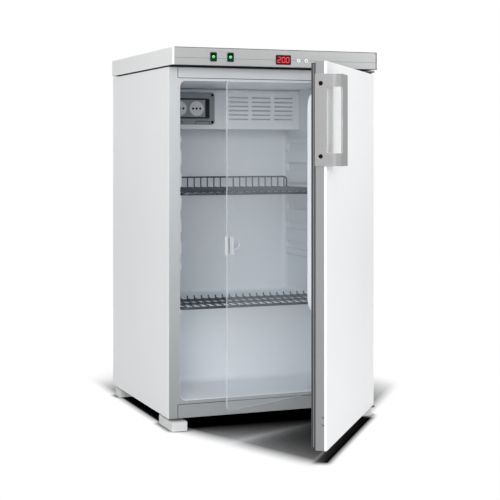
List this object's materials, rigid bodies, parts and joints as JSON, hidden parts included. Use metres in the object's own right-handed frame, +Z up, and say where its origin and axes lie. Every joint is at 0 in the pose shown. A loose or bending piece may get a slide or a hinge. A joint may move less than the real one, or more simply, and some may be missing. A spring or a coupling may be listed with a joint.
{
  "type": "laboratory incubator",
  "caption": "Cooled laboratory incubator for under a bench, outer door open, clear inner door ajar, wire shelves, inside sockets and a control panel in the lid's front edge.",
  "frame": {"origin": "on the floor, under the middle of the lid and of the four feet", "axes": "+X to the user's right, +Y from the door to the back, +Z up"},
  "size_m": [0.508, 0.919, 0.855],
  "materials": {
    "white_coat": "satin",
    "white_board": "satin",
    "grey_edge": "satin",
    "zinc_sheet": "satin",
    "liner_plastic": "satin",
    "foam": "matte",
    "panel_silver": "satin",
    "black_plastic": "satin",
    "grey_plastic": "satin",
    "dark_rubber": "matte",
    "gasket_rubber": "matte",
    "socket_white": "gloss",
    "screw_black": "satin",
    "shelf_wire": "polished",
    "aluminium_fin": "satin",
    "heater_steel": "satin",
    "clear_panel": "gloss",
    "clear_profile": "gloss",
    "handle_steel": "satin",
    "key_green": "gloss",
    "display_red": "gloss",
    "button_white": "satin",
    "board_green": "satin",
    "hinge_steel": "satin",
    "bush_teal": "satin",
    "foot_white": "satin",
    "shell_black": "satin",
    "coil_black": "satin",
    "copper": "satin"
  },
  "bodies": {
    "cabinet": {"left_side_panel": "white_coat", "right_side_panel": "white_coat", "top_panel": "white_coat", "front_top_rail": "white_coat", "front_kick_panel": "white_coat", "back_panel": "zinc_sheet", "base_pan": "zinc_sheet", "niche_panel": "zinc_sheet", "inner_liner": "liner_plastic", "shelf_supports": "liner_plastic", "cabinet_insulation": "foam", "evaporator_cover": "liner_plastic", "socket_box": "grey_plastic", "socket_window_seal": "dark_rubber", "socket_modules": "socket_white", "socket_screws": "screw_black", "fan_frame": "black_plastic", "evaporator": "aluminium_fin", "heater_element": "heater_steel", "temperature_probe": "heater_steel", "worktop": "white_board", "control_fascia": "panel_silver", "power_switch_bezel": "black_plastic", "socket_switch_bezel": "black_plastic", "display_bezel": "black_plastic", "display_window": "display_red", "control_board": "board_green", "upper_hinge_bracket": "hinge_steel", "lower_hinge_bracket": "hinge_steel", "inner_door_bearings": "clear_profile", "front_feet": "foot_white", "rear_feet": "foot_white", "compressor": "shell_black", "compressor_grommets": "dark_rubber", "compressor_rail": "zinc_sheet", "relay_cover": "black_plastic", "condenser": "coil_black", "condenser_clips": "grey_plastic", "filter_drier": "copper", "junction_box": "black_plastic", "power_inlet": "black_plastic"},
    "door": {"door_outer_panel": "white_coat", "door_side_profiles": "grey_edge", "door_end_caps": "foot_white", "door_liner": "liner_plastic", "door_insulation": "foam", "door_gasket": "gasket_rubber", "door_handle": "handle_steel", "handle_screws": "screw_black", "hinge_bushes": "bush_teal"},
    "inner_door": {"inner_door_panel": "clear_panel", "inner_door_profile": "clear_profile", "inner_door_catch": "clear_profile"},
    "upper_shelf": {"upper_shelf_wires": "shelf_wire"},
    "lower_shelf": {"lower_shelf_wires": "shelf_wire"},
    "fan": {"fan_impeller": "black_plastic"},
    "power_rocker": {"power_rocker_key": "key_green"},
    "socket_rocker": {"socket_rocker_key": "key_green"},
    "up_button": {"up_button_cap": "button_white"},
    "down_button": {"down_button_cap": "button_white"}
  },
  "joints": [
    {"name": "door_hinge", "type": "hinge", "parent": "cabinet", "child": "door", "pos_m": [0.236, -0.2445, 0], "axis": [0, 0, 1], "range_deg": [-52.33, 57.67]},
    {"name": "inner_door_hinge", "type": "hinge", "parent": "cabinet", "child": "inner_door", "pos_m": [0.2195, -0.191, 0], "axis": [0, 0, 1], "range_deg": [-26.3, 29.2]},
    {"name": "upper_shelf_slide", "type": "slide", "parent": "cabinet", "child": "upper_shelf", "axis": [0, -1, 0], "range_m": [-0.002, 0.008]},
    {"name": "lower_shelf_slide", "type": "slide", "parent": "cabinet", "child": "lower_shelf", "axis": [0, -1, 0], "range_m": [-0.01, 0.008]},
    {"name": "fan_spin", "type": "hinge", "parent": "cabinet", "child": "fan", "pos_m": [0.112, 0.145, 0.731], "axis": [0, 1, 0], "continuous": true},
    {"name": "power_rocker_tilt", "type": "hinge", "parent": "cabinet", "child": "power_rocker", "pos_m": [-0.1576, -0.2465, 0.8345], "axis": [1, 0, 0], "range_deg": [-16, 0]},
    {"name": "socket_rocker_tilt", "type": "hinge", "parent": "cabinet", "child": "socket_rocker", "pos_m": [-0.1171, -0.2465, 0.8345], "axis": [1, 0, 0], "range_deg": [-16, 0]},
    {"name": "up_button_press", "type": "slide", "parent": "cabinet", "child": "up_button", "axis": [0, 1, 0], "range_m": [0, 0.001], "stiffness_N_per_m": 300},
    {"name": "down_button_press", "type": "slide", "parent": "cabinet", "child": "down_button", "axis": [0, 1, 0], "range_m": [0, 0.001], "stiffness_N_per_m": 300}
  ],
  "couplings": [
    {"joint": "inner_door_hinge", "follows": "door_hinge", "ratio": 0.50067}
  ]
}
